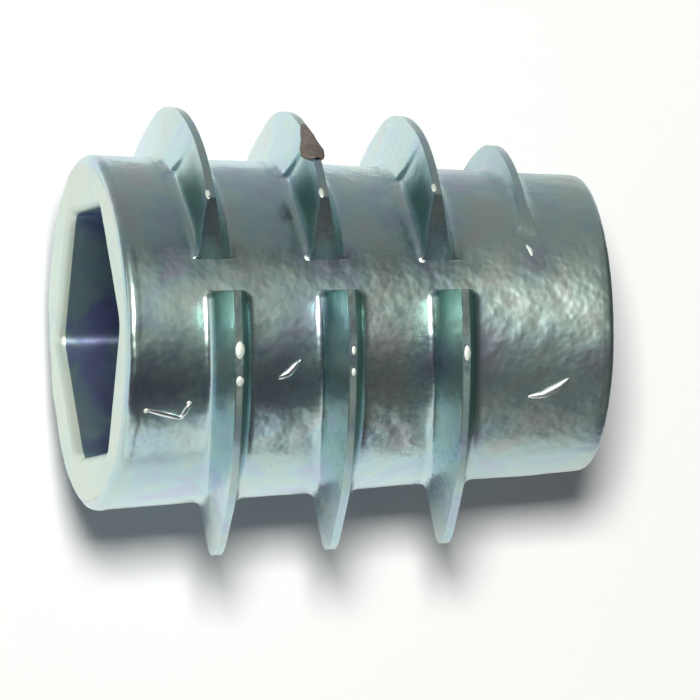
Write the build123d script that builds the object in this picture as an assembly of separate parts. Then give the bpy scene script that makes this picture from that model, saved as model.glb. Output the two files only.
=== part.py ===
from build123d import *
from math import ceil, cos, floor, pi, radians, sin, tan
import os

# A threaded insert for wood, die cast in zinc alloy in one piece.
# It is screwed into a drilled hole with a hex key, and a bolt then threads into its bore.
# Units are millimetres and degrees. The insert stands on its leading end, socket up.
# Depth is measured down from the drive face. A turn angle starts at +X and grows clockwise as
# seen from the socket, which is the way that the insert is driven in.

# Body
length = 13.0
body_r_drive = 4.57
body_r_lead = 3.8
rim_round = 0.24
lead_chamfer = 0.2

# Hex socket, with casting draft
socket_flats = 6.3
socket_depth = 5.0
socket_draft = 1.4
socket_corner_r = 0.2
socket_mouth_chamfer = 0.15
socket_turn = 87.0

# Bore, at the minor radius of the bolt thread
bore_r = 2.5
bore_chamfer = 0.35

# Outer thread: one right-hand ridge, cast as half turns that stop short of both parting lines
pitch = 3.0
crest_r_drive = 5.89
crest_r_lead = 5.47
crest_width = 0.21
flank_angle = 17.5
root_fillet = 0.24
first_crest_depth = 2.3
lead_land = 1.2

# Each half turn's centre line, in shares of the pitch, at its start, middle and end
upper_shares = (-0.127, 0.0, -0.03)
lower_shares = (0.114, 0.325, 0.74)
upper_angles = (-103.0, 0.0, 66.0)
lower_angles = (77.0, 180.0, 246.0)
start_lean = 13.0
end_lean = -43.0
fade_angles = (-75.0, 55.0)

# How far each ridge runs into the body, and past its own trimmed ends
ridge_seat = 0.6
foot_sink = 0.02
trim_margin = 13.0
section_step = 14.0


def body_r(depth):
    return body_r_drive + (body_r_lead - body_r_drive) * depth / length


def crest_r(depth):
    return crest_r_drive + (crest_r_lead - crest_r_drive) * depth / length


def curve_through(angles, values, angle):
    """The parabola through three stations."""
    a0, a1, a2 = angles
    v0, v1, v2 = values
    return (
        v0 * (angle - a1) * (angle - a2) / ((a0 - a1) * (a0 - a2))
        + v1 * (angle - a0) * (angle - a2) / ((a1 - a0) * (a1 - a2))
        + v2 * (angle - a0) * (angle - a1) / ((a2 - a0) * (a2 - a1))
    )


def ridge_section(angle, depth, rise):
    """One section of the ridge, with a narrow flat crest and a fillet at each root.

    rise is the share of the full ridge height that stands above the body.
    """
    plane = Plane(
        origin=(0, 0, length - depth),
        x_dir=(cos(radians(angle)), -sin(radians(angle)), 0),
        z_dir=(-sin(radians(angle)), -cos(radians(angle)), 0),
    )
    slope = radians(flank_angle)
    taper = (body_r_lead - body_r_drive) / length
    sink = (1 - rise) * (crest_r(depth) - body_r(depth))
    tip = crest_r(depth) - sink
    floor_r = body_r(depth) - sink
    inner = floor_r - ridge_seat
    half_crest = crest_width / 2

    def root(side):
        """Foot, middle and top of the fillet on one side: +1 is the drive side."""
        drop = floor_r - foot_sink + root_fillet - tip
        out = half_crest + (root_fillet - drop * sin(slope)) / cos(slope)
        out = out / (1 - side * taper * tan(slope))
        centre = (floor_r - foot_sink + root_fillet - side * taper * out, out)
        half = (pi / 2 - slope) / 2
        foot = (centre[0] - root_fillet, side * out)
        middle = (
            centre[0] - root_fillet * cos(half),
            side * (out - root_fillet * sin(half)),
        )
        top = (
            centre[0] - root_fillet * sin(slope),
            side * (out - root_fillet * cos(slope)),
        )
        return foot, middle, top

    low_foot, low_middle, low_top = root(-1)
    high_foot, high_middle, high_top = root(1)
    with BuildSketch(plane) as section:
        with BuildLine():
            Line((inner, low_foot[1]), low_foot)
            ThreePointArc(low_foot, low_middle, low_top)
            Line(low_top, (tip, -half_crest))
            Line((tip, -half_crest), (tip, half_crest))
            Line((tip, half_crest), high_top)
            ThreePointArc(high_top, high_middle, high_foot)
            Line(high_foot, (inner, high_foot[1]))
            Line((inner, high_foot[1]), (inner, low_foot[1]))
        make_face()
    return section.sketch


def past_end(angle, depth, lean, side):
    """The block past a ridge's end, behind a plane through its root that leans from the radius.

    side is +1 past the end of a ridge and -1 before its start.
    """
    reach = 2 * crest_r_drive
    along = radians(angle + lean)
    plane = Plane(
        origin=(
            body_r(depth) * cos(radians(angle)),
            -body_r(depth) * sin(radians(angle)),
            length - depth,
        ),
        x_dir=(cos(along), -sin(along), 0),
        z_dir=(0, 0, 1),
    )
    edge = Align.MAX if side > 0 else Align.MIN
    return plane * Box(reach, reach, reach, align=(Align.CENTER, edge, Align.CENTER))


def half_ridge(angles, shares, turn, fades=False):
    """A half turn of the ridge, trimmed at the parting lines, or fading out before the second."""
    start, end = angles[0], angles[-1]
    first = start - trim_margin
    last = (fade_angles[1] if fades else end) + trim_margin
    count = ceil((last - first) / section_step)

    def depth_at(angle):
        return first_crest_depth + pitch * (turn + curve_through(angles, shares, angle))

    def rise_at(angle):
        if not fades:
            return 1.0
        return min(1.0, (fade_angles[1] - angle) / (fade_angles[1] - fade_angles[0]))

    stations = [first + (last - first) * k / count for k in range(count + 1)]
    ridge = loft([ridge_section(a, depth_at(a), rise_at(a)) for a in stations])
    ridge -= past_end(start, depth_at(start), start_lean, -1)
    if not fades:
        ridge -= past_end(end, depth_at(end), end_lean, 1)
    return ridge


def plain_body():
    """The tapered body, turned about its axis, with a rounded rim and a chamfered lead."""
    with BuildPart() as body:
        with BuildSketch(Plane.XZ):
            with BuildLine():
                Polyline((0, 0), (body_r_lead, 0), (body_r_drive, length), (0, length), close=True)
            make_face()
        revolve(axis=Axis.Z)
        fillet(body.edges().sort_by(Axis.Z)[-1], rim_round)
        chamfer(body.edges().sort_by(Axis.Z)[0], lead_chamfer)
    return body.part


def hex_outline(flats, height):
    """The socket's outline, with the small corner radius of a cast hole."""
    corner_to_corner = flats / cos(pi / 6)
    with BuildSketch(Plane.XY.offset(height)) as outline:
        RegularPolygon(corner_to_corner / 2, 6, rotation=-socket_turn)
        fillet(outline.vertices(), socket_corner_r)
    return outline.sketch


def hex_socket():
    """The tapered hex hole, with a small chamfer round its mouth."""
    narrowing = 2 * socket_depth * tan(radians(socket_draft))
    hole = loft(
        [
            hex_outline(socket_flats - narrowing, length - socket_depth),
            hex_outline(socket_flats, length),
        ]
    )
    mouth = loft(
        [
            hex_outline(socket_flats, length - socket_mouth_chamfer),
            hex_outline(socket_flats + 2 * socket_mouth_chamfer, length),
        ]
    )
    return hole + mouth


def bore():
    """The through bore, countersunk at the leading end."""
    hole = Cylinder(bore_r, length, align=(Align.CENTER, Align.CENTER, Align.MIN))
    countersink = Cone(
        bore_r + bore_chamfer,
        bore_r,
        bore_chamfer,
        align=(Align.CENTER, Align.CENTER, Align.MIN),
    )
    return hole + countersink


def ridges():
    """Every half turn, from just behind the rim to the one that fades into the plain lead."""
    last_turn = floor((length - lead_land - first_crest_depth) / pitch)
    halves = []
    for turn in range(last_turn):
        halves.append(half_ridge(upper_angles, upper_shares, turn))
        halves.append(half_ridge(lower_angles, lower_shares, turn))
    halves.append(half_ridge(upper_angles, upper_shares, last_turn, fades=True))
    return halves


insert_body = plain_body()
for half in ridges():
    insert_body += half
insert_body -= hex_socket()
insert_body -= bore()

os.makedirs("parts", exist_ok=True)
export_step(insert_body, "parts/insert_body.step")
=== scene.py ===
import bpy
import numpy as np
from mathutils import Matrix, Vector


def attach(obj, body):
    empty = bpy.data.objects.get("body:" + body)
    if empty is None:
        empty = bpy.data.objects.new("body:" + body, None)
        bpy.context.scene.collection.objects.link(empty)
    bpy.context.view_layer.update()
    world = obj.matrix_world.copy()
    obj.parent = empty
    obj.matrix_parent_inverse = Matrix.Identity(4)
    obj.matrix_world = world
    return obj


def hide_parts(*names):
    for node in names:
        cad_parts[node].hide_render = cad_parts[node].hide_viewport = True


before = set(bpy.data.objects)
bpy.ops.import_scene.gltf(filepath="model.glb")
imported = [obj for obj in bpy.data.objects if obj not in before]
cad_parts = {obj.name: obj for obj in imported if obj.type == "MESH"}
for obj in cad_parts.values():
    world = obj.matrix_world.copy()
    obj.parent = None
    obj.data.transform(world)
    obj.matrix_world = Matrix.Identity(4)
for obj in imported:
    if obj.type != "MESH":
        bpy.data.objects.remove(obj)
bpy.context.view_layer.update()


# Outer skin
# The insert's tapered body with its coarse ridge thread, die cast in zinc alloy in one piece. Each die
# half forms one half of every turn, so the ridge is cast as half turns that stop short of the two
# parting lines, each with its own slightly different course.

LENGTH = 13.0
BODY_R_DRIVE, BODY_R_LEAD = 4.57, 3.8
CREST_R_DRIVE, CREST_R_LEAD = 5.89, 5.47
CREST_HALF_WIDTH = 0.105
CREST_FALL = 0.03
FLANK_ANGLE = 17.5
ROOT_FILLET = 0.24
PITCH = 3.0
FIRST_CREST_DEPTH = 2.3
RIM_ROUND = 0.24
LEAD_ROUND = 0.2
PARTING_ANGLE = 71.5
MM = 0.001

LATTICE = 97

# Height, cell and seed of each size of random swell, in the casting's skin and in its rim's rounding.
CAST_SWELLS = [(0.014, 1.7, 11), (0.009, 0.7, 12), (0.004, 0.33, 13)]
RIM_SWELLS = [(0.22, 0.9, 21), (0.08, 0.4, 22)]


def wavy(points, cell, seed):
    """Smooth random heights from -1 to 1: values on a cubic lattice of that cell size, which repeats far
    outside the part, blended by smoothstep weights between the eight corners round each point."""
    lattice = np.random.default_rng(seed).uniform(-1, 1, (LATTICE, LATTICE, LATTICE))
    where = points / cell
    low = np.floor(where).astype(int)
    share = where - low
    share = share * share * (3 - 2 * share)
    total = 0
    for corner in np.ndindex(2, 2, 2):
        weight = np.prod(np.where(corner, share, 1 - share), axis=-1)
        total = total + weight * lattice[tuple(np.moveaxis((low + corner) % LATTICE, -1, 0))]
    return total


def swells(points, sizes):
    """The sum of smooth random heights of several sizes."""
    return sum(height * wavy(points, cell, seed) for height, cell, seed in sizes)


def cast_unevenness(points):
    """The casting's own unevenness in millimetres: swells of three sizes, the finest the shallowest."""
    return swells(points, CAST_SWELLS)


def turned(radius, height, angle):
    """Points at a radius and a height above the leading face, at angles in degrees that grow clockwise
    as seen from the socket: x is r cos(angle) and y is -r sin(angle)."""
    angle = np.radians(angle)
    height = height + 0 * radius
    return np.stack([radius * np.cos(angle), -radius * np.sin(angle), height], axis=-1)


SHARP_EDGE = np.radians(38)


def skin_piece(name, points, closed, material, wear=None):
    """A surface through a grid of points in millimetres, rows first. closed joins the last column
    to the first. The faces point away from the row direction crossed with the column direction. The
    last argument holds two shares at each point: how much painted shade darkens the plating there,
    and how much it is rubbed dull."""
    rows, columns = points.shape[:2]
    mesh = bpy.data.meshes.new(name)
    index = np.arange(rows * columns).reshape(rows, columns)
    if closed:
        index = np.concatenate([index, index[:, :1]], axis=1)
    corners = [index[:-1, :-1], index[1:, :-1], index[1:, 1:], index[:-1, 1:]]
    quads = np.stack(corners, axis=-1).reshape(-1, 4)
    mesh.vertices.add(rows * columns)
    mesh.vertices.foreach_set("co", (points * MM).astype(np.float32).ravel())
    mesh.loops.add(quads.size)
    mesh.loops.foreach_set("vertex_index", quads.ravel().astype(np.int32))
    mesh.polygons.add(len(quads))
    mesh.polygons.foreach_set("loop_start", np.arange(0, quads.size, 4, dtype=np.int32))
    mesh.polygons.foreach_set("use_smooth", np.ones(len(quads), bool))
    mesh.update(calc_edges=True)
    mesh.validate()
    mesh.set_sharp_from_angle(angle=SHARP_EDGE)
    if wear is not None:
        shares = np.zeros((rows * columns, 3), np.float32)
        shares[:, :2] = wear.reshape(-1, 2)
        mesh.attributes.new("wear", "FLOAT_VECTOR", "POINT").data.foreach_set("vector", shares.ravel())
    mesh.materials.append(material)
    piece = bpy.data.objects.new(name, mesh)
    bpy.context.scene.collection.objects.link(piece)
    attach(piece, "root")
    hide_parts("insert_body")


class Wire:
    """A shader socket that adds and multiplies like a number, each step adding its own Math node. An
    index in square brackets gives another output of the same node."""

    def __init__(self, tree, socket=None):
        self.tree, self.socket = tree, socket

    def __getitem__(self, output):
        return Wire(self.tree, self.socket.node.outputs[output])

    def node(self, kind, settings=None, **inputs):
        """The first output of a new node. Its settings are made first. Each input is a value or a Wire,
        under its own name with _ for a space, or under i and its number."""
        made = self.tree.nodes.new(kind)
        for name, value in (settings or {}).items():
            if name == "stops":
                ramp = made.color_ramp
                while len(ramp.elements) < len(value):
                    ramp.elements.new(0.5)
                for element, (place, colour) in zip(ramp.elements, value):
                    element.position, element.color = place, (*colour, 1.0)
            else:
                setattr(made, name, value)
        for name, value in inputs.items():
            numbered = name[1:].isdigit()
            socket = made.inputs[int(name[1:]) if numbered else name.replace("_", " ")]
            if isinstance(value, Wire):
                value.feed(socket)
            else:
                socket.default_value = value
        return Wire(self.tree, made.outputs[0])

    def feed(self, socket):
        self.tree.links.new(self.socket, socket)

    def mix(self, colour, share):
        """This colour, and another one by that share."""
        return self.node("ShaderNodeMix", {"data_type": "RGBA"}, i0=share, i6=self, i7=colour)[2]

    def __add__(self, other):
        return self.node("ShaderNodeMath", {"operation": "ADD"}, i0=self, i1=other)

    def __mul__(self, other):
        return self.node("ShaderNodeMath", {"operation": "MULTIPLY"}, i0=self, i1=other)

    __radd__ = __add__
    __rmul__ = __mul__


PLATED_TINTS = [(0.49, 0.57, 0.70), (0.47, 0.65, 0.71), (0.52, 0.69, 0.67), (0.55, 0.63, 0.64)]
TINT_PLACES = (0.34, 0.45, 0.55, 0.66)
LEAD_GREY = (0.40, 0.44, 0.38, 1)
LEAD_GREY_SHARE = 0.2
# Painted shade: a dark colour mixed into the ridge flanks to darken them.
FLANK_SHADE = (0.09, 0.21, 0.195, 1)
GRAIN_TOP, GRAIN_FOOT, GRAIN_LEAST = 0.0095, 0.001, 0.45
LEAD_END_TOP, LEAD_END_FOOT = 0.0043, 0.0033
MOTTLE_SCALE, PIT_SCALE, COARSE_SCALE, FINE_SCALE = 650.0, 1500.0, 3200.0, 7500.0

# The roughness of bright plating, what each cause adds to it, and each grain's share of the relief.
BRIGHT_ROUGH, MOTTLE_ROUGH, FINE_ROUGH = 0.10, 0.12, 0.08
GRAIN_ROUGH, LEAD_END_ROUGH, RUBBED_ROUGH, FLANK_SHADE_ROUGH = 0.10, 0.10, 0.3, 0.16
FINE_RELIEF, COARSE_RELIEF, PIT_RELIEF = 0.15, 0.75, 1.1


def plated_zinc(name, grain_depth, tints=PLATED_TINTS, metallic=1.0, dull=0.0):
    """Zinc plating over a die casting: a pale blue-green metal, mottled where the passivation dried
    unevenly. The cast skin's grain, that many millimetres deep, shows through it more and more towards
    the leading end, where the metal is also a little greyer. Where the mesh carries painted shade the
    metal is darker and duller, and where it is rubbed only duller."""
    material = bpy.data.materials.new(name)
    material.use_nodes = True
    tree = material.node_tree
    shader = tree.nodes["Principled BSDF"]
    start = Wire(tree)
    place = start.node("ShaderNodeTexCoord")["Object"]
    height = start.node("ShaderNodeSeparateXYZ", Vector=place)["Z"]
    wear = start.node("ShaderNodeAttribute", {"attribute_name": "wear"})["Vector"]
    wear = start.node("ShaderNodeSeparateXYZ", Vector=wear)
    painted_shade, rubbed = wear["X"], wear["Y"]

    def noise(**inputs):
        return start.node("ShaderNodeTexNoise", Vector=place, **inputs)["Fac"]

    def zone(top, foot, least):
        return start.node("ShaderNodeMapRange", Value=height, From_Min=top, From_Max=foot, To_Min=least)

    mottle = noise(Scale=MOTTLE_SCALE, Detail=3.0, Roughness=0.55, Distortion=0.3)
    pitted = noise(Scale=PIT_SCALE, Detail=2.0, Roughness=0.55)
    coarse = noise(Scale=COARSE_SCALE, Detail=1.0, Roughness=0.5)
    fine = noise(Scale=FINE_SCALE, Detail=2.0, Roughness=0.5)
    towards_lead = zone(GRAIN_TOP, GRAIN_FOOT, GRAIN_LEAST)
    lead_end = zone(LEAD_END_TOP, LEAD_END_FOOT, 0.0)

    tint = start.node("ShaderNodeValToRGB", {"stops": list(zip(TINT_PLACES, tints))}, Fac=mottle)
    # The mesh's painted shade share darkens the base colour.
    tint.mix(LEAD_GREY, lead_end * LEAD_GREY_SHARE).mix(FLANK_SHADE, painted_shade).feed(shader.inputs["Base Color"])
    shader.inputs["Metallic"].default_value = metallic
    rough = BRIGHT_ROUGH + dull + mottle * MOTTLE_ROUGH + fine * FINE_ROUGH
    rough = rough + towards_lead * GRAIN_ROUGH + lead_end * LEAD_END_ROUGH
    rough = rough + rubbed * RUBBED_ROUGH + painted_shade * FLANK_SHADE_ROUGH
    rough.feed(shader.inputs["Roughness"])
    relief = (fine * FINE_RELIEF + coarse * COARSE_RELIEF + pitted * PIT_RELIEF) * towards_lead
    bump = start.node("ShaderNodeBump", Height=relief, Strength=1.0, Distance=grain_depth * MM)
    bump.feed(shader.inputs["Normal"])
    return material


skin_zinc = plated_zinc("zinc_skin", 0.023)


def body_r(depth):
    return BODY_R_DRIVE + (BODY_R_LEAD - BODY_R_DRIVE) * depth / LENGTH


def crest_r(depth):
    return CREST_R_DRIVE + (CREST_R_LEAD - CREST_R_DRIVE) * depth / LENGTH


def bell(value, place, width, height=1.0):
    """A bell of that height at the place, which falls off as exp(-d^2) with the distance d in widths."""
    return height * np.exp(-(((value - place) / width) ** 2))


def stepped(value, start, end, height=1.0):
    """0 up to the start, that height from the end on, and a smoothstep between them."""
    share = np.clip((value - start) / (end - start), 0, 1)
    return height * (share * share * (3 - 2 * share))


def crest_depth(turn, angles, shares, angle):
    """The depth of a half turn's centre line below the drive face: its own turn's, and the parabola
    through the shares of the pitch at its start, middle and end."""
    a0, a1, a2 = angles
    s0, s1, s2 = shares
    first = s0 * (angle - a1) * (angle - a2) / ((a0 - a1) * (a0 - a2))
    middle = s1 * (angle - a0) * (angle - a2) / ((a1 - a0) * (a1 - a2))
    last = s2 * (angle - a0) * (angle - a1) / ((a2 - a0) * (a2 - a1))
    return FIRST_CREST_DEPTH + PITCH * turn + PITCH * (first + middle + last)


UNCUT_R = 99.0
LEAST_SINE = 0.02


def end_face_r(angle, root_angle, lean, root_r):
    """How high above the axis a flat end face leaves the ridge at each angle. The face passes through the
    root and leans towards the ridge from the radius there, so by the sine rule r = root_r sin(lean) /
    sin(lean - turn). Past the root, on the side that it leans away from, nothing is left."""
    turn = np.radians(angle - root_angle)
    past = turn * lean < 0
    lean = np.radians(lean)
    down = np.sin(lean - turn) / np.sin(lean)
    cut = np.where(down > LEAST_SINE, root_r / np.maximum(down, LEAST_SINE), UNCUT_R)
    return np.where(past, 0.0, cut)


# Rows on each side and on the crest. A ridge lower than the flat height spreads out, and its crest
# falls in full only above the height after that.
SIDE_ROWS = 14
CREST_ROWS = 4
FLAT_HEIGHT = 0.06
FLAT_TAPER = 0.45
FULL_FALL_HEIGHT = 0.5
FALL_POWER = 8
LEAST_HEIGHT = 1e-6


def ridge_rows(ridge):
    """One ridge across its width at each angle: the depths and radii of its rows, and the painted shade
    and wear there. Each side is a root fillet and a straight flank at its own slope, up to the crest or
    to where an end face cuts it. Its rows are spaced by the square of their share of the height, which
    crowds them into the fillet. The crest falls a little from its drive edge to its lead edge, and a
    ridge that hardly rises spreads out flat."""
    base = ridge["base"]
    full = np.maximum(ridge["tip"] - base, LEAST_HEIGHT)
    height = np.clip(ridge["cut"] - base, 0.0, full)
    share = np.linspace(0, 1, SIDE_ROWS)[:, None]
    rise = height * share**2

    def side(slope, fillet):
        """The half width at each row, on a flank that leans from the radius by that slope in degrees."""
        slope = np.radians(slope)
        corner = CREST_HALF_WIDTH + full * np.tan(slope)
        run = fillet * np.tan((np.pi / 2 - slope) / 2)
        drop = fillet - np.minimum(rise, fillet)
        arc = corner + run - np.sqrt(np.maximum(fillet**2 - drop**2, 0))
        flank = CREST_HALF_WIDTH + (full - rise) * np.tan(slope)
        half = np.where(rise < run * np.cos(slope), arc, flank)
        flat = (corner + run) * (1 - FLAT_TAPER * share)
        sunk = np.clip(1 - height / FLAT_HEIGHT, 0, 1)
        return half * (1 - sunk) + flat * sunk

    drive_side = side(ridge["drive_slope"](share), ROOT_FILLET)
    lead_side = side(ridge["lead_slope"](share), ridge["lead_fillet"])
    across = np.linspace(0, 1, CREST_ROWS + 2)[1:-1, None]
    crest = -drive_side[-1] + (lead_side[-1] + drive_side[-1]) * across
    offsets = np.concatenate([-drive_side, crest, lead_side[::-1]])
    radii = np.concatenate([base + rise, base + height + 0 * across, base + rise[::-1]])
    fallen = np.concatenate([0 * share, across, np.ones_like(share)])
    fall = ridge["crest_fall"] * np.clip(height / FULL_FALL_HEIGHT, 0, 1)
    near_crest = np.clip((radii - base) / full, 0, 1) ** FALL_POWER
    depths = ridge["centre"] + offsets
    return depths, radii - fall * fallen * near_crest, ridge_shade_and_wear(ridge, height, full, share)


# The height from which a ridge's painted shade and rubbing are full, the share of its height that
# counts as uncut, and the shares of the way up a flank over which its painted shade comes in and its
# edge begins.
WORN_HEIGHT = 0.4
UNCUT_SHARE = 0.97
DRIVE_SHADE_FOOT, LEAD_SHADE_FOOT = (0.28, 0.5), (0.0, 0.3)
EDGE_ROWS = (0.8, 1.0)


def ridge_shade_and_wear(ridge, height, full, share):
    """The shares of painted shade and of rubbing at each row of a ridge. A flank gets painted shade from
    above its root, the drive flank less at its edge by the ridge's edge_shine. The crest is rubbed where
    no end face cuts it. Both go where the ridge sinks into the body."""
    standing = np.clip(height / WORN_HEIGHT, 0, 1)
    middle = stepped(share, *DRIVE_SHADE_FOOT) * (1 - stepped(share, *EDGE_ROWS, ridge["edge_shine"]))
    drive_stain = ridge["drive_stain"] * middle * standing
    lead_stain = ridge["lead_stain"] * stepped(share, *LEAD_SHADE_FOOT) * standing
    uncut = np.clip((height / full - UNCUT_SHARE) / (1 - UNCUT_SHARE), 0, 1)
    crest_rub = ridge["crest_rub"] * uncut * standing + np.zeros((CREST_ROWS, 1))
    painted_shade = np.concatenate([drive_stain, 0 * crest_rub, lead_stain[::-1]])
    rubbed = np.concatenate([0 * drive_stain, crest_rub, 0 * lead_stain])
    return np.stack([painted_shade, rubbed], axis=-1)


def crowded(start, end, count, places, width, strength):
    """Angles from start to end, closer together round the given places: equal shares of the area under
    1 plus a bell of that strength and width at each place."""
    fine = np.linspace(start, end, 4001)
    density = 1 + sum(bell(fine, place, width, strength) for place in places)
    area = np.concatenate([[0], np.cumsum((density[1:] + density[:-1]) / 2)])
    return np.interp(np.linspace(0, area[-1], count), area, fine)


def rim_at(angle):
    """The rim's rounding at each angle: its radius wanders as the die's worn edge does."""
    ring = turned(BODY_R_DRIVE + 0 * angle, 0.0, angle)
    return RIM_ROUND * (1 + swells(ring, RIM_SWELLS))


ARC_ROWS = 8
BLEND_HEIGHT = 0.5


def half_skin(name, angle, ridges, gap_rows):
    """Half of the outer skin between the parting lines. Each column is the body's profile at one angle,
    from the rim to the leading end, with its rows gathered on the ridges that it crosses."""
    arc = np.linspace(0, np.pi / 2, ARC_ROWS)[:, None] * np.ones_like(angle)
    plain = np.zeros((*arc.shape, 2))
    rim = rim_at(angle)
    depth_rows = [rim * (1 - np.cos(arc))]
    radius_rows = [body_r(0) - rim * (1 - np.sin(arc))]
    shade_and_wear_rows = [plain]
    above = rim
    for ridge, rows in zip(ridges, gap_rows):
        depths, radii, wear = ridge_rows(ridge)
        base = ridge["base"]
        gap = above + (depths[0] - above) * np.linspace(0, 1, rows + 2)[1:-1, None]
        taper = (body_r(depths) - base) * np.clip(1 - (radii - base) / BLEND_HEIGHT, 0, 1)
        depth_rows += [gap, depths]
        radius_rows += [body_r(gap), radii + taper]
        shade_and_wear_rows += [np.zeros((*gap.shape, 2)), wear]
        above = depths[-1]
    tail_end = LENGTH - LEAD_ROUND
    tail = above + (tail_end - above) * np.linspace(0, 1, gap_rows[-1] + 2)[1:-1, None]
    depth_rows += [tail, tail_end + LEAD_ROUND * np.sin(arc)]
    radius_rows += [body_r(tail), body_r(LENGTH) - LEAD_ROUND * (1 - np.cos(arc))]
    shade_and_wear_rows += [np.zeros((*tail.shape, 2)), plain]
    points = turned(np.concatenate(radius_rows), LENGTH - np.concatenate(depth_rows), angle)
    points = points + turned(np.ones_like(angle), 0.0, angle) * cast_unevenness(points)[..., None]
    skin_piece(name, points, False, skin_zinc, np.concatenate(shade_and_wear_rows))


# The course of each half turn: angles, and shares of the pitch, at its start, middle and end. Below,
# each bell is a place, a width and a height, and each step is a start, an end and a height.
UPPER_ANGLES, UPPER_SHARES = (-103.0, 0.0, 66.0), (-0.127, 0.0, -0.03)
UPPER_DRIVE_SLOPE = 17.0
UPPER_DROPS = (0.05, 0.14, 0.19, 0.0)
UPPER_DROP_WIDTH = 45
UPPER_DIP = (-25, 16, 0.14)
STEP_BACK, STEP_GROOVE, STEP_LEAN = (23, 26, 2.2), (25.5, 1.5, 1.8), 8
DRIVE_DRAFT, LEAD_DRAFT = (34, 72, 13.5), (25, 55, 3.5)
LEAD_FILLET_GROWTH = (20, 55, 0.26)
UPPER_RUB = 0.25
# Painted shade on each upper turn's drive flank: its share per turn, the angles over which it comes in,
# and where it partly fades.
UPPER_SHADE = (0.9, 0.95, 0.95, 0.0)
UPPER_SHADE_START, UPPER_SHADE_LOSS = (27, 46), (52, 64, 0.4)
UPPER_EDGE_SHINE = 0.65
FADING_TURN = 3
FADE_START, FADE_END, FADE_LEAST = -75.0, 55.0, 1e-4
FADE_SHIFT = -0.4
START_LEAN, END_LEAN = 13.0, -43.0


def upper_drop(turn, angle):
    """How much lower an upper crest is at each angle, in millimetres: a wide bell round its middle."""
    return bell(angle, 0, UPPER_DROP_WIDTH, UPPER_DROPS[turn])


def upper_ridge(turn, angle):
    """A half turn of the upper die. Near 25 degrees its drive side steps back and then stands steeper, so
    that the die can leave it, and its lead-side fillet grows. The last one fades out, and lies a little
    nearer to the others."""
    centre = crest_depth(turn, UPPER_ANGLES, UPPER_SHARES, angle)
    base = body_r(centre)
    tip = crest_r(centre) - (upper_drop(turn, angle) + bell(angle, *UPPER_DIP))
    cut = end_face_r(angle, UPPER_ANGLES[0], START_LEAN, base)
    fades = turn == FADING_TURN
    if fades:
        left = (FADE_END - angle) / (FADE_END - FADE_START)
        tip = base + (tip - base) * np.clip(left, FADE_LEAST, 1)
        centre = centre + FADE_SHIFT
    else:
        cut = np.minimum(cut, end_face_r(angle, UPPER_ANGLES[-1], END_LEAN, base))

    def drive_slope(share):
        along = angle - STEP_LEAN * share
        step = stepped(along, *STEP_BACK) + bell(along, *STEP_GROOVE)
        return UPPER_DRIVE_SLOPE - step - stepped(angle, *DRIVE_DRAFT)

    def lead_slope(share):
        return FLANK_ANGLE - stepped(angle, *LEAD_DRAFT) + 0 * share

    painted_shade = UPPER_SHADE[turn] * stepped(angle, *UPPER_SHADE_START)
    return {
        "centre": centre,
        "tip": tip,
        "cut": cut,
        "base": base,
        "drive_slope": drive_slope,
        "lead_slope": lead_slope,
        "lead_fillet": ROOT_FILLET + stepped(angle, *LEAD_FILLET_GROWTH),
        "crest_fall": CREST_FALL,
        "crest_rub": 0.0 if fades else UPPER_RUB,
        "drive_stain": painted_shade * (1 - stepped(angle, *UPPER_SHADE_LOSS)),
        "lead_stain": 0.0,
        "edge_shine": UPPER_EDGE_SHINE,
    }


LOWER_ANGLES, LOWER_SHARES = (77.0, 180.0, 246.0), (0.114, 0.325, 0.74)
LOWER_DRIVE_SLOPE = 12.5
LOWER_DIPS = [(152, 14, 0.16), (206, 15, 0.18)]
LOWER_CORNER, LOWER_CORNER_DROP = (77, 80.5), 0.5
LOWER_FALL_LOSS = (86, 100)
LOWER_RUB = (97, 108, 0.55)
# Painted shade on the lower flanks: where the drive flank's fades out, a darker patch past it, and where
# the lead flank's fades out.
LOWER_DRIVE_SHADE_LOSS, LOWER_DRIVE_SHADE_SPOT = (84, 104), (110, 12, 0.3)
LOWER_LEAD_SHADE_LOSS = (120, 140)
LOWER_EDGE_SHINE = 0.1


def lower_ridge(turn, angle):
    """A half turn of the lower die. Its drive side is steeper, its crest is a little lower on each side
    of the die's middle, and the corner where it starts is rounded off."""
    centre = crest_depth(turn, LOWER_ANGLES, LOWER_SHARES, angle)
    base = body_r(centre)
    tip = crest_r(centre) - LOWER_CORNER_DROP * (1 - stepped(angle, *LOWER_CORNER)) ** 2
    for dip in LOWER_DIPS:
        tip = tip - bell(angle, *dip)
    at_start = end_face_r(angle, LOWER_ANGLES[0], START_LEAN, base)
    at_end = end_face_r(angle, LOWER_ANGLES[-1], END_LEAN, base)

    def drive_slope(share):
        return LOWER_DRIVE_SLOPE + 0 * share * angle

    def lead_slope(share):
        return FLANK_ANGLE + 0 * share * angle

    return {
        "centre": centre,
        "tip": tip,
        "cut": np.minimum(at_start, at_end),
        "base": base,
        "drive_slope": drive_slope,
        "lead_slope": lead_slope,
        "lead_fillet": ROOT_FILLET,
        "crest_fall": CREST_FALL * (1 - stepped(angle, *LOWER_FALL_LOSS)),
        "crest_rub": stepped(angle, *LOWER_RUB),
        "drive_stain": 1 - stepped(angle, *LOWER_DRIVE_SHADE_LOSS) + bell(angle, *LOWER_DRIVE_SHADE_SPOT),
        "lead_stain": 1 - stepped(angle, *LOWER_LEAD_SHADE_LOSS),
        "edge_shine": LOWER_EDGE_SHINE,
    }


# The columns of each half, the angles where a form changes quickly and they are crowded, and the rows
# between one ridge and the next.
CROWDING = 3.0
UPPER_COLUMNS, UPPER_CROWDS, UPPER_CROWD_WIDTH = 350, (-102, 28, 54, 66), 3.0
LOWER_COLUMNS, LOWER_CROWDS, LOWER_CROWD_WIDTH = 400, (78.5, 234, 246), 2.5
UPPER_GAP_ROWS, LOWER_GAP_ROWS = (14, 20, 20, 20, 22), (16, 22, 22, 44)

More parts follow.
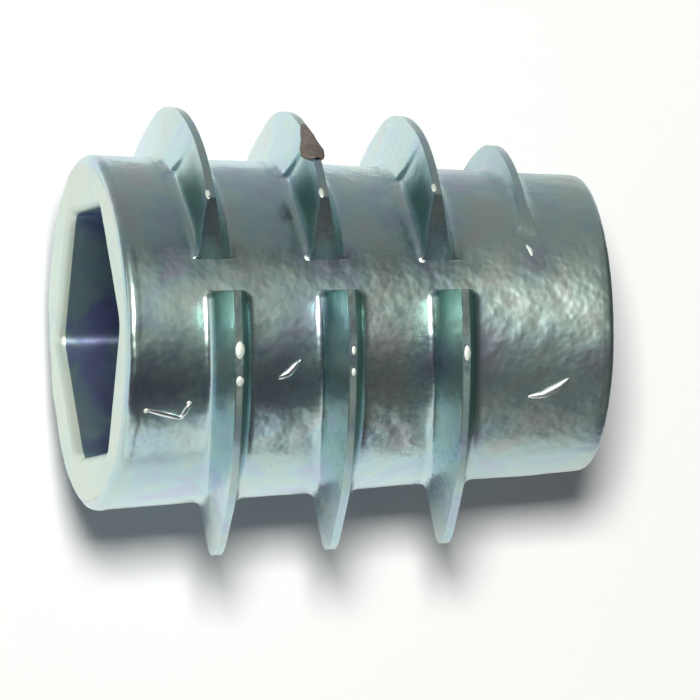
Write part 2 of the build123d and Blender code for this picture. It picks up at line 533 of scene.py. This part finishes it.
upper_start, lower_end = PARTING_ANGLE - 180, PARTING_ANGLE + 180
angle = crowded(upper_start, PARTING_ANGLE, UPPER_COLUMNS, UPPER_CROWDS, UPPER_CROWD_WIDTH, CROWDING)
half_skin("upper_skin", angle, [upper_ridge(turn, angle) for turn in range(4)], UPPER_GAP_ROWS)
angle = crowded(PARTING_ANGLE, lower_end, LOWER_COLUMNS, LOWER_CROWDS, LOWER_CROWD_WIDTH, CROWDING)
half_skin("lower_skin", angle, [lower_ridge(turn, angle) for turn in range(3)], LOWER_GAP_ROWS)


# Nicks and worn spots
# What handling has left on the casting: nicks in the skin, whose lifted edges of bare metal catch the
# light, and spots on the crests and on the body where the plating is rubbed. The rubbed spots and the
# last nick are coloured pale and partly matt, which also paints a highlight on them.

SLIVER_SEAT = 0.03


def sliver(name, ends, width, height, material, lift=0.0):
    """A lifted edge of metal along a line between angles and depths: across it, a half round of that
    width and height, which tapers to nothing at both ends as the square root of a sine. It lies on the
    body, or that much above it."""
    along = np.linspace(0, 1, 41)[:, None]
    across = np.linspace(-1, 1, 11)[None, :]
    stations = np.linspace(0, 1, len(ends))
    angle = np.interp(along, stations, [end[0] for end in ends])
    depth = np.interp(along, stations, [end[1] for end in ends])
    swell = np.sqrt(np.clip(np.sin(np.pi * along), 0, 1))
    run_a = (ends[-1][0] - ends[0][0]) * np.radians(1) * BODY_R_DRIVE
    run_d = ends[-1][1] - ends[0][1]
    reach = np.hypot(run_a, run_d)
    side = across * swell * width / 2
    angle = angle + np.degrees(side * run_d / reach / BODY_R_DRIVE)
    depth = depth - side * run_a / reach
    radius = body_r(depth) + lift - SLIVER_SEAT + (height + SLIVER_SEAT) * swell * np.sqrt(1 - across**2)
    skin_piece(name, turned(radius, LENGTH - depth, angle), False, material)


# Each nick's line of angles and depths, and its width and height.
NICKS = [
    ([(116.0, 0.50), (117.4, 0.9), (119.0, 1.3), (120.3, 1.6)], 0.19, 0.05),
    ([(120.6, 1.5), (117.5, 1.62), (114.0, 1.75)], 0.17, 0.06),
    ([(107.4, 4.0), (105.2, 4.30), (100.6, 4.62)], 0.25, 0.07),
    ([(118.6, 10.7), (117.8, 11.15), (114.6, 11.55), (111.2, 11.85)], 0.30, 0.08),
]
RUBBED_NICK = ([(58.5, 10.78), (61.0, 10.88), (64.6, 10.92)], 0.14, 0.02)
BARE_TINTS = [(0.80, 0.88, 0.88)] * 4
# Pale, partly matt rubbed plating, which also paints a highlight where it lies.
RUBBED_HIGHLIGHT_TINTS = [(0.80, 0.88, 0.84)] * 4

bare_zinc = plated_zinc("zinc_bare", 0.004, BARE_TINTS)
rubbed_highlight_zinc = plated_zinc("zinc_rubbed_highlight", 0.02, RUBBED_HIGHLIGHT_TINTS, metallic=0.55, dull=0.25)
for number, (ends, width, height) in enumerate(NICKS, 1):
    sliver(f"nick_edge_{number}", ends, width, height, bare_zinc)
sliver(f"nick_edge_{len(NICKS) + 1}", *RUBBED_NICK, rubbed_highlight_zinc)

# On the lower crests: the turn, the angle, half the length in degrees, and the width. On the upper
# crests: the angle on each turn. On the body: the angle, the depth and the size.
LOWER_SPOTS = [
    (0, 95.3, 2.3, 0.25),
    (0, 103.2, 1.4, 0.22),
    (1, 96.0, 1.5, 0.15),
    (1, 101.6, 1.2, 0.14),
    (2, 97.4, 2.3, 0.2),
]
LOWER_SPOT_LIFT, LOWER_SPOT_OFFSET = 0.01, 0.02
UPPER_SPOTS = [53.2, 52.6, 50.8]
UPPER_SPOT_REACH, UPPER_SPOT_WIDTH, UPPER_SPOT_OFFSET = 1.6, 0.14, -0.08
SKIN_SPOTS = [(65.1, 4.93, 0.25), (65.6, 7.96, 0.25), (116.6, 0.575, 0.17), (114.6, 1.70, 0.17)]
CREST_SPOT_HEIGHT = 0.01
SKIN_SPOT_HEIGHT = 0.02


def crest_highlight_spot(name, along, centre, low, offset, width):
    """A rubbed spot on a crest, a short sliver in pale rubbed plating that also paints a highlight: the
    angles and depths of the crest's middle at its three stations, how much lower the crest is than a full
    one, and how far off the middle it lies."""
    lift = crest_r(centre[1]) - body_r(centre[1]) - low
    sliver(name, list(zip(along, centre + offset)), width, CREST_SPOT_HEIGHT, rubbed_highlight_zinc, lift)


for number, (turn, angle, reach, width) in enumerate(LOWER_SPOTS, 1):
    along = np.array([angle - reach, angle, angle + reach])
    centre = crest_depth(turn, LOWER_ANGLES, LOWER_SHARES, along)
    crest_highlight_spot(f"worn_highlight_spot_{number}", along, centre, -LOWER_SPOT_LIFT, LOWER_SPOT_OFFSET, width)
for turn, angle in enumerate(UPPER_SPOTS):
    along = np.array([angle - UPPER_SPOT_REACH, angle, angle + UPPER_SPOT_REACH])
    centre = crest_depth(turn, UPPER_ANGLES, UPPER_SHARES, along)
    low = upper_drop(turn, angle)
    crest_highlight_spot(f"worn_highlight_end_{turn + 1}", along, centre, low, UPPER_SPOT_OFFSET, UPPER_SPOT_WIDTH)
for number, (angle, depth, size) in enumerate(SKIN_SPOTS, 1):
    reach = np.degrees(size / 2 / body_r(depth))
    ends = [(angle - reach, depth), (angle + reach, depth)]
    sliver(f"rubbed_highlight_spot_{number}", ends, size, SKIN_SPOT_HEIGHT, rubbed_highlight_zinc)


# Flash
# A torn lump of the casting's own flash, smeared over the second crest and wider towards its lower
# end. It is coloured dark brown.

FLASH_TINTS = [(0.10, 0.085, 0.085), (0.17, 0.14, 0.135), (0.25, 0.21, 0.20), (0.14, 0.125, 0.12)]
FLASH_TURN = 1
FLASH_START, FLASH_END = 22, 40
FLASH_CORNER = 0.12
FLASH_HALF_WIDTH, FLASH_SPREAD = 0.08, 0.29
FLASH_HALF_HEIGHT, FLASH_RISE = 0.06, 0.06
FLASH_SEAT, FLASH_SAG, FLASH_DRIFT = 0.03, 0.04, 0.07
SAW_DEPTH, SAW_TEETH, SAW_SEED = 0.03, 8, 31
TEAR_DEPTH, TEAR_CELL, TEAR_SEED = 0.04, 0.2, 32

flash_brown = plated_zinc("zinc_flash", 0.03, FLASH_TINTS, metallic=0.4, dull=0.4)


def flash_lump():
    """A tube along the crest, an oval across, mostly sunk into the crest at its thin ends. Its swell is
    its share of the way, and drops to nothing at the lower end. Random heights make its width uneven and
    its surface torn."""
    share = np.linspace(0, 1, 60)[:, None]
    bend = np.linspace(0, 2 * np.pi, 28, endpoint=False)[None, :]
    angle = FLASH_START + (FLASH_END - FLASH_START) * share
    centre = crest_depth(FLASH_TURN, UPPER_ANGLES, UPPER_SHARES, angle)
    swell = share * np.clip((1 - share) / FLASH_CORNER, 0, 1) ** 0.5
    saw = wavy(np.stack([share * SAW_TEETH, 0 * share, 0 * share], axis=-1), 1.0, SAW_SEED)
    half_width = FLASH_HALF_WIDTH + (FLASH_SPREAD + SAW_DEPTH * saw) * swell
    half_height = FLASH_HALF_HEIGHT + FLASH_RISE * swell
    depth = centre - FLASH_DRIFT * swell - half_width * np.cos(bend)
    middle = crest_r(centre) - upper_drop(FLASH_TURN, angle) - FLASH_SEAT - FLASH_SAG * swell
    points = turned(middle + half_height * np.sin(bend), LENGTH - depth, angle)
    return points + (TEAR_DEPTH * wavy(points, TEAR_CELL, TEAR_SEED) * swell)[..., None]


skin_piece("flash_scrap", flash_lump(), True, flash_brown)


# Drive face and hex socket
# The flat end that a hex key enters: a plain ring round a six-sided hole, cast with a little draft so
# that the core pulls out, and a small lead-in round its mouth.

SOCKET_FLATS = 6.3
SOCKET_DEPTH = 5.0
SOCKET_DRAFT = 1.4
SOCKET_TURN = 87.0
MOUTH_CHAMFER = 0.15
MOUTH_DEPTH = 0.24
HEX_SIDES = (30, 90, 150)
CORNER_SHARPNESS = 30
BOLT_MAJOR_R = 3.0
FACE_UNEVENNESS = 0.5
SETTLING_DEPTH = 0.5
FACE_TINTS = [(0.60, 0.70, 0.70), (0.62, 0.74, 0.70), (0.66, 0.77, 0.69), (0.68, 0.75, 0.68)]
# The socket's tints are darker and bluer than the outside: painted shade inside the deep hole.
SOCKET_SHADE_TINTS = [(0.26, 0.27, 0.50), (0.26, 0.31, 0.52), (0.30, 0.44, 0.46), (0.34, 0.40, 0.46)]

face_zinc = plated_zinc("zinc_face", 0.012, FACE_TINTS, metallic=0.7, dull=0.12)
shaded_socket_zinc = plated_zinc("zinc_socket_shaded", 0.012, SOCKET_SHADE_TINTS, metallic=0.93, dull=0.12)
around = np.linspace(0, 360, 360, endpoint=False)


def hex_r(angle, across_half):
    """The outline of a hexagon with small round corners: a high-power mean of the distances to its
    three pairs of sides, which is straight along a side and rounds off near a corner."""
    total = 0
    for side in HEX_SIDES:
        facing = np.radians(angle - SOCKET_TURN - side)
        total = total + np.abs(np.cos(facing) / across_half) ** CORNER_SHARPNESS
    return total ** (-1 / CORNER_SHARPNESS)


mouth_half = SOCKET_FLATS / 2
mouth_depth = np.linspace(1, 0, 5)[:-1, None] * MOUTH_DEPTH
mouth_share = 1 - mouth_depth / MOUTH_DEPTH
mouth_radius = hex_r(around, mouth_half + MOUTH_CHAMFER * mouth_share**2)
face_share = np.linspace(0, 1, 16)[:, None]
inner_edge = hex_r(around, mouth_half + MOUTH_CHAMFER)
face_radius = inner_edge + (BODY_R_DRIVE - rim_at(around) - inner_edge) * face_share
face_depth = np.concatenate([mouth_depth, 0 * face_share])
face_points = turned(np.concatenate([mouth_radius, face_radius]), LENGTH - face_depth, around)
face_points[..., 2] += FACE_UNEVENNESS * cast_unevenness(face_points) * (1 - face_depth / MOUTH_DEPTH)
skin_piece("drive_face", face_points, True, face_zinc)

wall_depth = np.linspace(MOUTH_DEPTH, SOCKET_DEPTH, 40)[:, None]
narrowing = np.tan(np.radians(SOCKET_DRAFT)) * (wall_depth - MOUTH_DEPTH)
wall_radius = hex_r(around, mouth_half - narrowing)
floor_share = np.linspace(0, 1, 14)[1:, None]
floor_radius = wall_radius[-1:] + (BOLT_MAJOR_R - wall_radius[-1:]) * floor_share
socket_radius = np.concatenate([wall_radius, floor_radius])
socket_height = LENGTH - np.concatenate([wall_depth, SOCKET_DEPTH + 0 * floor_share])
socket_points = turned(socket_radius, socket_height, around)
inward = -turned(np.ones_like(around), 0.0, around)
settled = np.clip((LENGTH - MOUTH_DEPTH - socket_points[..., 2:]) / SETTLING_DEPTH, 0, 1)
socket_points += inward * cast_unevenness(socket_points)[..., None] * settled
skin_piece("hex_socket", socket_points[::-1], True, shaded_socket_zinc)


# Bolt thread
# The machine thread that the bolt screws into, tapped through from the socket floor, with a
# countersink at the leading end. A cut surface, smoother and brighter than the casting.

BOLT_MINOR_R = 2.5
BOLT_PITCH = 1.0
COUNTERSINK_R = 3.05

# One turn of the thread's profile: shares of the pitch where its top and its root start and end.
PROFILE_SHARES = np.array([0.0, 0.25, 0.5625, 0.6875])
PROFILE_R = [BOLT_MINOR_R, BOLT_MINOR_R, BOLT_MAJOR_R, BOLT_MAJOR_R]

cut_zinc = plated_zinc("zinc_cut", 0.004)


def bolt_thread_points():
    """The thread's profile wound round the axis once, falling by a pitch on the way, so that its last
    column lies on its first, one turn on. The countersink cuts away what lies inside its cone, and both
    ends are drawn to the flat faces there."""
    socket_floor = LENGTH - SOCKET_DEPTH
    turns = int(socket_floor / BOLT_PITCH) + 2
    phase = (np.arange(turns)[:, None] + PROFILE_SHARES).ravel()[:, None]
    angle = np.linspace(0, 360, 241)
    height = (phase - angle / 360) * BOLT_PITCH
    radius = np.tile(PROFILE_R, turns)[:, None] + 0 * height
    radius = np.maximum(radius, COUNTERSINK_R - np.maximum(height, 0))
    radius = np.where(height > socket_floor, BOLT_MAJOR_R, radius)
    radius = np.where(height < 0, COUNTERSINK_R, radius)
    return turned(radius, np.clip(height, 0, socket_floor), angle)


skin_piece("bolt_thread", bolt_thread_points(), False, cut_zinc)


# Leading face
# The plain ring round the bore at the end that goes into the hole first. It is part of the same
# casting, and a little uneven, as the die left it.

LEAD_UNEVENNESS = 0.3

lead_share = np.linspace(0, 1, 12)[:, None]
lead_radius = BODY_R_LEAD - LEAD_ROUND + (COUNTERSINK_R - BODY_R_LEAD + LEAD_ROUND) * lead_share
lead_points = turned(lead_radius + 0 * around, 0.0, around)
lead_points[..., 2] += LEAD_UNEVENNESS * np.abs(cast_unevenness(lead_points))
skin_piece("leading_face", lead_points, True, skin_zinc)


# Paper
# The insert lies on its crests on a sheet of white paper, as in the photograph. The sheet follows the
# crests' taper, and it is clear from behind, so that the far side can be seen through it.

PAPER_WHITE = (0.885, 0.9, 0.965, 1)
PAPER_ROUGHNESS = 0.9
PAPER_REACH = 0.6
PAPER_CORNERS = [(-PAPER_REACH, -PAPER_REACH), (PAPER_REACH, -PAPER_REACH),
                 (PAPER_REACH, PAPER_REACH), (-PAPER_REACH, PAPER_REACH)]

paper = bpy.data.materials.new("white_paper")
paper.use_nodes = True
paper_tree = paper.node_tree
paper_shader = paper_tree.nodes["Principled BSDF"]
paper_shader.inputs["Base Color"].default_value = PAPER_WHITE
paper_shader.inputs["Roughness"].default_value = PAPER_ROUGHNESS
paper_start = Wire(paper_tree)
clear = paper_start.node("ShaderNodeBsdfTransparent")
behind = paper_start.node("ShaderNodeNewGeometry")["Backfacing"]
front_side = Wire(paper_tree, paper_shader.outputs["BSDF"])
paper_mix = paper_start.node("ShaderNodeMixShader", i0=behind, i1=front_side, i2=clear)
paper_mix.feed(paper_tree.nodes["Material Output"].inputs["Surface"])


def paper_corner(x, height):
    """A corner of the sheet, which touches the crests at both ends: y grows with the crests' radius."""
    slope = (CREST_R_DRIVE - CREST_R_LEAD) / LENGTH
    return x, CREST_R_LEAD * MM + slope * height, height


paper_mesh = bpy.data.meshes.new("paper")
paper_mesh.from_pydata([paper_corner(*corner) for corner in PAPER_CORNERS], [], [(0, 1, 2, 3)])
paper_mesh.materials.append(paper)
sheet = bpy.data.objects.new("paper", paper_mesh)
bpy.context.scene.collection.objects.link(sheet)


# Dim room
# What the metal reflects: the lit and dark sides of a room in front of the insert, a pale strip close
# above it, and a dark card past its leading end. The cards show only in reflections.

room = bpy.data.materials.new("dim_room")
room.use_nodes = True
room_tree = room.node_tree
room_shader = room_tree.nodes["Principled BSDF"]
room_shader.inputs["Base Color"].default_value = (0, 0, 0, 1)
room_shader.inputs["Roughness"].default_value = 1.0
room_shader.inputs["Emission Strength"].default_value = 1.0
glow = Wire(room_tree).node("ShaderNodeAttribute", {"attribute_name": "glow"})
glow["Color"].feed(room_shader.inputs["Emission Color"])


def room_card(name, near_row, far_row, colours):
    """A card of the dim room between two rows of places, with the glow of each pair of them."""
    columns = len(near_row)
    faces = [(i, i + 1, columns + i + 1, columns + i) for i in range(columns - 1)]
    mesh = bpy.data.meshes.new(name)
    mesh.from_pydata([tuple(p) for p in near_row] + [tuple(p) for p in far_row], [], faces)
    shown = np.ones((2, columns, 4), np.float32)
    shown[..., :3] = np.array(colours)
    mesh.attributes.new("glow", "FLOAT_COLOR", "POINT").data.foreach_set("color", shown.ravel())
    mesh.materials.append(room)
    card = bpy.data.objects.new(name, mesh)
    bpy.context.scene.collection.objects.link(card)
    card.visible_camera = False
    card.visible_diffuse = False
    card.visible_shadow = False


def ring(directions, distance, height):
    """Places round the axis, in directions measured from +Y towards +X."""
    a = np.radians(directions)
    return np.stack([distance * np.sin(a), distance * np.cos(a), height + 0 * a], axis=-1)


# The glow in each direction round the front of the insert, from above it to below it.
FRONT_GLOW = [
    (84, 0.14), (100, 0.115), (114, 0.12), (124, 0.2), (136, 0.3), (148, 0.4), (158, 0.44), (168, 0.38),
    (178, 0.26), (188, 0.13), (196, 0.05), (206, 0.02), (222, 0.02), (234, 0.08), (240, 0.3), (246, 0.6),
]
FRONT_WARM = np.array([1.0, 0.98, 0.86])
FRONT_VIOLET = np.array([0.014, 0.011, 0.024])
FRONT_DISTANCE, FRONT_LOW, FRONT_HIGH = 0.4, -0.6, 0.7

directions, front_glow = np.array(FRONT_GLOW).T
front_colours = front_glow[:, None] * FRONT_WARM + FRONT_VIOLET
front_rows = [ring(directions, FRONT_DISTANCE, height) for height in (FRONT_LOW, FRONT_HIGH)]
room_card("room_front", *front_rows, front_colours)

# The glow of the strip above, at each y from the paper to the front.
ABOVE_GLOW = [(0.0053, 0.58), (0.003, 0.48), (0.0, 0.38), (-0.003, 0.27), (-0.008, 0.18)]
ABOVE_X, ABOVE_LOW, ABOVE_HIGH = 0.0084, -0.03, 0.06

above_rows = [[(ABOVE_X, y, height) for y, _ in ABOVE_GLOW] for height in (ABOVE_LOW, ABOVE_HIGH)]
room_card("room_above", *above_rows, [[shine] * 3 for _, shine in ABOVE_GLOW])

END_GLOW = 0.05
END_X, END_NEAR_Y, END_FAR_Y, END_Z = 0.05, 0.0045, -0.04, -0.008

end_rows = [[(-END_X, y, END_Z), (END_X, y, END_Z)] for y in (END_NEAR_Y, END_FAR_Y)]
room_card("room_end", *end_rows, [[END_GLOW] * 3] * 2)


# White surround
# What the camera sees past the paper, and what the metal reflects past the cards. It lights the insert
# itself only faintly, so that the one lamp's shadow stays clear.

WORLD_FILL = 0.10

world = bpy.data.worlds.new("studio")
bpy.context.scene.world = world
world.use_nodes = True
world_tree = world.node_tree
sky = world_tree.nodes["Background"]
sky.inputs["Color"].default_value = (1, 1, 1, 1)
path = Wire(world_tree).node("ShaderNodeLightPath")
seen = path["Is Camera Ray"] + path["Is Glossy Ray"] + path["Is Transmission Ray"]
strength = WORLD_FILL + seen * (1 - WORLD_FILL)
strength.feed(sky.inputs["Strength"])


# Lamp
# One small square lamp in front of the insert, a little above it and towards its socket end. It throws
# the soft shadow below and beside the insert.

LAMP_DIRECTION = (0.205, -1.0, 0.225)
LAMP_DISTANCE = 0.3
LAMP_SIZE = 0.055
LAMP_POWER = 0.97
LAMP_COLOUR = (1.0, 0.985, 0.88)

light = bpy.data.lights.new("key", "AREA")
light.shape = "SQUARE"
light.size = LAMP_SIZE
light.energy = LAMP_POWER
light.color = LAMP_COLOUR
lamp = bpy.data.objects.new("key", light)
away = Vector(LAMP_DIRECTION).normalized()
lamp.location = Vector((0, 0, LENGTH / 2 * MM)) + away * LAMP_DISTANCE
lamp.rotation_euler = away.to_track_quat("Z", "Y").to_euler()
bpy.context.scene.collection.objects.link(lamp)


# Camera
# The photograph's view: square on to the insert's side from slightly above the socket end, turned so
# that the socket is at the left and the axis rises a little to the right.

PHOTO_WIDTH = 700
PIXELS_PER_MM = 39.05
SOCKET_CENTRE_X, SOCKET_CENTRE_Y = 87.0, 332.5
VIEW_TILT = np.radians(13.5)
VIEW_ROLL = np.radians(1.13)
VIEW_DISTANCE = 0.7
SENSOR_MM = 36.0
CLIP_NEAR, CLIP_FAR = 0.01, 10.0

along = Vector((0, -np.sin(VIEW_TILT), -np.cos(VIEW_TILT)))
across = Vector((1, 0, 0))
towards = Vector((0, -np.cos(VIEW_TILT), np.sin(VIEW_TILT)))
right = along * np.cos(VIEW_ROLL) - across * np.sin(VIEW_ROLL)
up = along * np.sin(VIEW_ROLL) + across * np.cos(VIEW_ROLL)
middle_x = (PHOTO_WIDTH / 2 - SOCKET_CENTRE_X) / PIXELS_PER_MM * MM
middle_y = (SOCKET_CENTRE_Y - PHOTO_WIDTH / 2) / PIXELS_PER_MM * MM
target = Vector((0, 0, LENGTH * MM)) + right * middle_x + up * middle_y
lens = bpy.data.cameras.new("camera")
lens.sensor_width = SENSOR_MM
lens.lens = SENSOR_MM * VIEW_DISTANCE / (PHOTO_WIDTH / PIXELS_PER_MM * MM)
lens.clip_start, lens.clip_end = CLIP_NEAR, CLIP_FAR
camera = bpy.data.objects.new("camera", lens)
facing = Matrix((right, up, towards)).transposed().to_4x4()
camera.matrix_world = Matrix.Translation(target + towards * VIEW_DISTANCE) @ facing
bpy.context.scene.collection.objects.link(camera)
bpy.context.scene.camera = camera
bpy.context.scene.view_settings.view_transform = "Standard"
